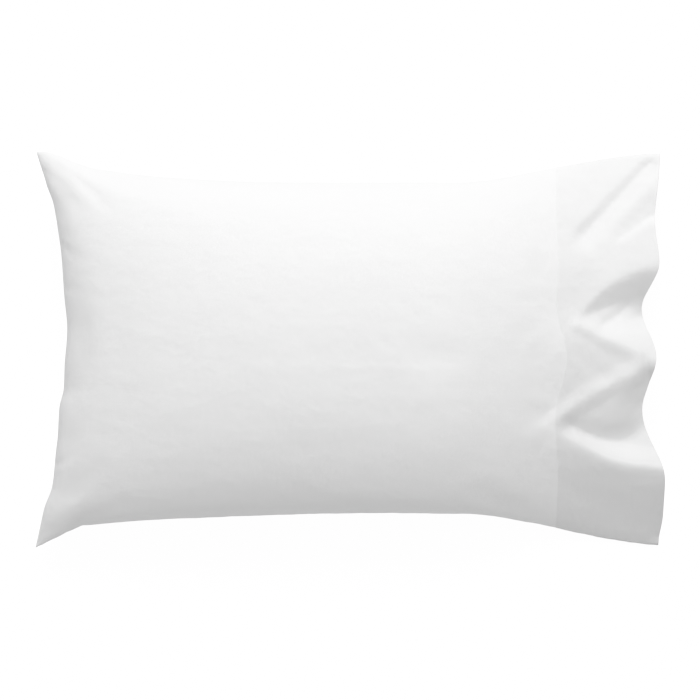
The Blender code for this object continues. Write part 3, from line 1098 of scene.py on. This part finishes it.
def scaled(tree, source, scales, at):
    """A Mapping node that stretches a pattern, fed by a socket."""
    mapping = add_node(tree, "ShaderNodeMapping", at)
    mapping.inputs["Scale"].default_value = scales
    join(tree, (source, mapping.inputs["Vector"]))
    return mapping.outputs["Vector"]


def math_node(tree, operation, at, first, second=None):
    """One sum. Each side is a socket or a plain number."""
    node = add_node(tree, "ShaderNodeMath", at, operation=operation)
    for slot_number, value in enumerate((first, second)):
        if value is None:
            continue
        if isinstance(value, (int, float)):
            node.inputs[slot_number].default_value = value
        else:
            join(tree, (value, node.inputs[slot_number]))
    return node.outputs["Value"]


def noise_node(tree, vector, scale, detail, at):
    """Even noise from 0 to 1, fed by a vector."""
    node = add_node(tree, "ShaderNodeTexNoise", at)
    node.inputs["Scale"].default_value = scale
    node.inputs["Detail"].default_value = detail
    join(tree, (vector, node.inputs["Vector"]))
    return node.outputs["Fac"]


def bump_node(tree, height, depth, normal, at):
    """A bump of this depth in metres, laid over another one where a normal is given."""
    node = add_node(tree, "ShaderNodeBump", at)
    node.inputs["Strength"].default_value = 1.0
    node.inputs["Distance"].default_value = depth
    join(tree, (height, node.inputs["Height"]))
    if normal is not None:
        join(tree, (normal, node.inputs["Normal"]))
    return node.outputs["Normal"]


def ranged(tree, value, low, high, at):
    """Maps 0 to 1 onto low to high."""
    node = add_node(tree, "ShaderNodeMapRange", at)
    node.inputs["To Min"].default_value = low
    node.inputs["To Max"].default_value = high
    join(tree, (value, node.inputs["Value"]))
    return node.outputs["Result"]


print(round(0.001 / THREAD_PITCH, 1), "threads to a millimetre")

# %% The weave's height
def plain_weave(tree, lengths, pitch, at):
    x, y = at
    parts = add_node(tree, "ShaderNodeSeparateXYZ", (x, y))
    join(tree, (lengths, parts.inputs["Vector"]))
    along = math_node(tree, "MULTIPLY", (x + 160, y + 60), parts.outputs["X"], math.pi / pitch)
    across = math_node(tree, "MULTIPLY", (x + 160, y - 100), parts.outputs["Y"], math.pi / pitch)
    warp = math_node(tree, "SINE", (x + 320, y + 60), along)
    weft = math_node(tree, "SINE", (x + 320, y - 100), across)
    return math_node(tree, "MULTIPLY", (x + 480, y), warp, weft)


def start_material(name):
    """A new material with its tree and its surface shader."""
    material = bpy.data.materials.new(name)
    material.use_nodes = True
    return material, material.node_tree, material.node_tree.nodes["Principled BSDF"]


def add_sheen(surface, weight, roughness):
    surface.inputs["Sheen Weight"].default_value = weight
    surface.inputs["Sheen Roughness"].default_value = roughness


def darkened(colour, share):
    """The same colour with less light in it, fully solid."""
    return [share * value for value in colour[:3]] + [1.0]


print("a check of the weave is", round(2.0 * THREAD_PITCH * 1000, 2), "mm long")

# %% The cotton of the case
COTTON_LIGHT = (0.905, 0.905, 0.905, 1.0)
COTTON_DARK = (0.870, 0.870, 0.870, 1.0)
COTTON_MOTTLE = (0.0, 0.9)
COTTON_GRAIN = (-0.15, 0.25)
COTTON_ROUGH = (0.82, 0.95)
COTTON_GLOSS = 0.25
COTTON_SHEEN = (0.2, 0.5)
HEM_PAINTED_SHADE = 0.930


def cotton():
    material, tree, surface = start_material("white_cotton_cloth")
    weave_map = add_node(tree, "ShaderNodeUVMap", (-1700, 0), uv_map="cloth")
    object_map = add_node(tree, "ShaderNodeTexCoord", (-1700, -400))
    lengths = weave_map.outputs["UV"]
    places = object_map.outputs["Object"]
    checks = plain_weave(tree, lengths, THREAD_PITCH, (-1500, 100))
    warp_lengths = scaled(tree, lengths, (SLUB_ALONG, SLUB_ACROSS, 1.0), (-1500, -150))
    weft_lengths = scaled(tree, lengths, (SLUB_ACROSS, SLUB_ALONG, 1.0), (-1500, -350))
    long_slubs = noise_node(tree, warp_lengths, 1.0, 2.0, (-1300, -150))
    short_slubs = noise_node(tree, weft_lengths, 1.0, 2.0, (-1300, -350))
    slubs = math_node(tree, "ADD", (-1100, -250), long_slubs, short_slubs)
    pressed = noise_node(tree, places, PRESSED_SCALE, 5.0, (-1300, -550))
    wide_places = scaled(tree, places, MOTTLE_SCALE, (-1500, -750))
    faint = noise_node(tree, wide_places, 1.0, 4.0, (-1300, -750))
    bumped = bump_node(tree, pressed, PRESSED_DEPTH, None, (-900, -500))
    bumped = bump_node(tree, slubs, SLUB_DEPTH, bumped, (-700, -400))
    bumped = bump_node(tree, checks, WEAVE_DEPTH, bumped, (-500, -300))
    tone = add_node(tree, "ShaderNodeMix", (-700, 200), data_type="RGBA")
    tone.inputs["A"].default_value = COTTON_DARK
    tone.inputs["B"].default_value = COTTON_LIGHT
    mottle = ranged(tree, faint, *COTTON_MOTTLE, (-1100, 150))
    grain = ranged(tree, slubs, *COTTON_GRAIN, (-1100, 0))
    shares = math_node(tree, "ADD", (-900, 0), mottle, grain)
    # Painted shade: where the "hem" attribute is 1, the colour is darkened by the hem's factor.
    hem = add_node(tree, "ShaderNodeAttribute", (-900, 400), attribute_name="hem")
    hem_shade_factor = ranged(tree, hem.outputs["Fac"], 1.0, HEM_PAINTED_SHADE, (-700, 400))
    darker = add_node(tree, "ShaderNodeVectorMath", (-400, 300), operation="SCALE")
    join(
        tree,
        (shares, tone.inputs["Factor"]),
        (tone.outputs["Result"], darker.inputs["Vector"]),
        (hem_shade_factor, darker.inputs["Scale"]),
        (darker.outputs["Vector"], surface.inputs["Base Color"]),
        (ranged(tree, faint, *COTTON_ROUGH, (-700, 0)), surface.inputs["Roughness"]),
        (bumped, surface.inputs["Normal"]),
    )
    surface.inputs["Specular IOR Level"].default_value = COTTON_GLOSS
    add_sheen(surface, *COTTON_SHEEN)
    return material


case_cloth.data.materials.append(cotton())
print("the case's material has", len(case_cloth.data.materials[0].node_tree.nodes), "nodes")

# %% [markdown]
# ## Ticking and thread
#
# The pillow's own cover is a heavier, flatter cloth, with a coarser weave and a white that is a little warmer
# and darker; its colour also has painted shade in the hollows of its rumple. The thread is mercerised: the
# same white with a slight shine, twisted, so that fine slanting lines run round it, with painted shade in
# their grooves.
# The case's cotton could serve for both, but then nothing would tell the three apart in a close look. They
# share its helpers and have their own sizes.

# %% The cover of the pillow
TICKING = (0.80, 0.795, 0.78, 1.0)
TICKING_PITCH = 0.00035
TICKING_DEPTH = 0.00005
TICKING_ROUGH = (0.80, 0.92)
TICKING_HOLLOW_SHADE = 0.96
TICKING_SHEEN = (0.1, 0.5)
RUMPLE_SCALE = 60.0
RUMPLE_DEPTH = 0.0008


def ticking():
    material, tree, surface = start_material("pillow_ticking")
    weave_map = add_node(tree, "ShaderNodeUVMap", (-1300, 0), uv_map="cloth")
    object_map = add_node(tree, "ShaderNodeTexCoord", (-1300, -300))
    checks = plain_weave(tree, weave_map.outputs["UV"], TICKING_PITCH, (-1100, 0))
    rumple = noise_node(tree, object_map.outputs["Object"], RUMPLE_SCALE, 5.0, (-900, -300))
    bumped = bump_node(tree, rumple, RUMPLE_DEPTH, None, (-600, -300))
    bumped = bump_node(tree, checks, TICKING_DEPTH, bumped, (-400, -200))
    # Painted shade: the colour is darker where the rumple noise, which also drives the bump, is low, in its
    # hollows.
    shade = add_node(tree, "ShaderNodeMix", (-400, 200), data_type="RGBA")
    shade.inputs["A"].default_value = darkened(TICKING, TICKING_HOLLOW_SHADE)
    shade.inputs["B"].default_value = TICKING
    join(
        tree,
        (rumple, shade.inputs["Factor"]),
        (shade.outputs["Result"], surface.inputs["Base Color"]),
        (ranged(tree, rumple, *TICKING_ROUGH, (-400, 0)), surface.inputs["Roughness"]),
        (bumped, surface.inputs["Normal"]),
    )
    add_sheen(surface, *TICKING_SHEEN)
    return material


pillow_end.data.materials.append(ticking())
print("the pillow's cover has", round(0.001 / TICKING_PITCH, 1), "threads to a millimetre")

# %% The thread
THREAD_WHITE = (0.88, 0.88, 0.875, 1.0)
THREAD_GROOVE_SHADE = 0.93
THREAD_ROUGH = (0.50, 0.62)
TWIST_SCALE = 900.0
TWIST_WANDER = 0.4
TWIST_DEPTH = 0.00004


def sewing_thread():
    """White with slanting lines of relief, with painted shade in their grooves, smoother than the cloth."""
    material, tree, surface = start_material("white_sewing_thread")
    object_map = add_node(tree, "ShaderNodeTexCoord", (-900, 0))
    twist = add_node(tree, "ShaderNodeTexWave", (-600, 0), wave_type="BANDS", bands_direction="DIAGONAL")
    twist.inputs["Scale"].default_value = TWIST_SCALE
    twist.inputs["Distortion"].default_value = TWIST_WANDER
    # Painted shade: the colour is darker where the twist bands, which also drive the bump, are low.
    shade = add_node(tree, "ShaderNodeMix", (-300, 200), data_type="RGBA")
    shade.inputs["A"].default_value = darkened(THREAD_WHITE, THREAD_GROOVE_SHADE)
    shade.inputs["B"].default_value = THREAD_WHITE
    join(
        tree,
        (object_map.outputs["Object"], twist.inputs["Vector"]),
        (twist.outputs["Fac"], shade.inputs["Factor"]),
        (shade.outputs["Result"], surface.inputs["Base Color"]),
        (ranged(tree, twist.outputs["Fac"], *THREAD_ROUGH, (-300, 0)), surface.inputs["Roughness"]),
        (bump_node(tree, twist.outputs["Fac"], TWIST_DEPTH, None, (-300, -200)), surface.inputs["Normal"]),
    )
    return material


thread = sewing_thread()
print("the thread's material has", len(thread.node_tree.nodes), "nodes")

# %% Sewing the hem
sewing = stitches.modifiers.new("sewing", "NODES")
sewing.node_group = stitch_tree(thread)
set_inputs(sewing, **STITCH_SIZES, Seed=STITCH_SEED)
sewn = stitches.evaluated_get(bpy.context.evaluated_depsgraph_get())
sewn_mesh = bpy.data.meshes.new_from_object(sewn)
stitches.modifiers.remove(sewing)
stitches.data = sewn_mesh
bpy.data.meshes.remove(line_mesh)
print("hem_stitches:", len(sewn_mesh.polygons), "faces")

# %% [markdown]
# ## Telling the frame what each piece is
#
# Every piece rides on the one body of the object and stands for the imported solid, which is hidden. One loop
# says so for all three, so that none is left out. The case and the end of the pillow are stuffed: the case is
# full but soft, and the pillow's end inside it is slacker.

# %% Riding and replacing
for piece in (case_cloth, pillow_end, stitches):
    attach(piece, "root")
    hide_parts("pillowcase")
print("pieces:", [piece.name for piece in (case_cloth, pillow_end, stitches)])

# %% [markdown]
# ## Floor and light
#
# A white thing on a white ground only has its shading, so the light does the drawing. A ring of lamps would
# even it out. One wide soft panel stands well over to +Y instead and leaves the near side in half-shade, and
# an even sky fills the rest. The floor looks white to the camera, but sends only a dim light back up, as if
# it were far away: a bright floor would light the cloth from below and wash out its lower edge.

# %% The floor
FLOOR_LOW = 0.0015
FLOOR_TONE = 0.60
FLOOR_SHOWN = 0.75
FLOOR_BOUNCE = 0.21


def floor_material():
    """Shown nearly white, but lighting the cloth only dimly."""
    material, tree, surface = start_material("pale_floor")
    rays = add_node(tree, "ShaderNodeLightPath", (-600, 200))
    glow = ranged(tree, rays.outputs["Is Camera Ray"], FLOOR_BOUNCE, FLOOR_SHOWN, (-300, 200))
    join(tree, (glow, surface.inputs["Emission Strength"]))
    surface.inputs["Emission Color"].default_value = (1.0, 1.0, 1.0, 1.0)
    surface.inputs["Base Color"].default_value = (FLOOR_TONE, FLOOR_TONE, FLOOR_TONE, 1.0)
    surface.inputs["Roughness"].default_value = 1.0
    surface.inputs["Specular IOR Level"].default_value = 0.0
    return material


FLOOR_HALF = 6.0
floor_mesh = bpy.data.meshes.new("floor")
corners = [(x * FLOOR_HALF, y * FLOOR_HALF, -FLOOR_LOW) for x, y in ((-1, -1), (1, -1), (1, 1), (-1, 1))]
floor_mesh.from_pydata(corners, [], [(0, 1, 2, 3)])
floor = add_piece("floor", floor_mesh)
floor_mesh.materials.append(floor_material())
print("the floor lies", FLOOR_LOW * 1000, "mm under the cloth")

# %% The sky
SKY = 0.600


def sky():
    """An even sky, white where the camera sees it."""
    world = bpy.data.worlds.new("studio")
    world.use_nodes = True
    tree = world.node_tree
    background = tree.nodes["Background"]
    rays = add_node(tree, "ShaderNodeLightPath", (-600, 100))
    strength = ranged(tree, rays.outputs["Is Camera Ray"], SKY, 1.0, (-300, 100))
    join(tree, (strength, background.inputs["Strength"]))
    background.inputs["Color"].default_value = (1.0, 1.0, 1.0, 1.0)
    return world


bpy.context.scene.world = sky()
print("the sky gives", SKY, "of white, and looks white to the camera")

# %% The soft panel
PANEL_POWER = 85.5
PANEL_SIZE = 2.4
PANEL_AWAY = 3.6
PANEL_TILT = math.radians(47.0)
PANEL_TURN = math.radians(6.0)
panel_light = bpy.data.lights.new("panel", "AREA")
panel_light.energy = PANEL_POWER
panel_light.shape = "SQUARE"
panel_light.size = PANEL_SIZE
panel = bpy.data.objects.new("panel", panel_light)
bpy.context.scene.collection.objects.link(panel)
panel.rotation_euler = (-PANEL_TILT, 0.0, -PANEL_TURN)
panel.location = PANEL_AWAY * (panel.rotation_euler.to_matrix() @ Vector((0.0, 0.0, 1.0)))
print("the panel stands at", [round(value, 2) for value in panel.location])

# %% [markdown]
# ## The brightest tones
#
# White cloth in full light is brighter than the white of a screen, and its lit side would be cut off to one
# flat patch. A weaker light would save it, but would leave the whole case grey. A camera bends the top of
# its tone curve instead, so that the last steps to white stay apart, and the curve below does the same:
# tones up to 0.85 are left alone, and 0.85 to 1.2 share what is left.

# %% The tone curve
TONE_CURVE = ((0.0, 0.0), (0.85, 0.85), (0.94, 0.924), (1.0, 0.968), (1.06, 0.989), (1.2, 1.0), (2.0, 1.0))


def bend_bright_tones(view):
    """Sets the tone curve. Its own scale ends at 1, so the tones are divided by the brightest one."""
    view.view_transform = "Standard"
    view.use_curve_mapping = True
    brightest = TONE_CURVE[-1][0]
    view.curve_mapping.white_level = (brightest, brightest, brightest)
    points = view.curve_mapping.curves[3].points
    for tone, shown in TONE_CURVE[1:-1]:
        points.new(tone / brightest, shown)
    for point in points:
        point.handle_type = "VECTOR"
    view.curve_mapping.update()


bend_bright_tones(bpy.context.scene.view_settings)
print("a tone of 1.0 is shown as", dict(TONE_CURVE)[1.0])

# %% [markdown]
# ## The camera
#
# The case is seen from straight above. A short lens close by would show more of the sides than of the crown
# and bend the outline, so the camera stands high over the middle with a long lens, nearly as if there were no
# perspective at all. The lens follows from the width that it has to show at the height of the outline.

# %% Straight overhead
CAMERA_HEIGHT = 6.0
SEEN_WIDTH = 0.889
SEEN_LEVEL = 0.06
SENSOR = 36.0
camera_data = bpy.data.cameras.new("camera")
camera_data.sensor_width = SENSOR
camera_data.lens = SENSOR * (CAMERA_HEIGHT - SEEN_LEVEL) / SEEN_WIDTH
camera_data.clip_end = 4.0 * CAMERA_HEIGHT
camera = bpy.data.objects.new("camera", camera_data)
bpy.context.scene.collection.objects.link(camera)
camera.location = (0.0, 0.0, CAMERA_HEIGHT)
bpy.context.scene.camera = camera
print("lens", round(camera_data.lens, 1), "mm")
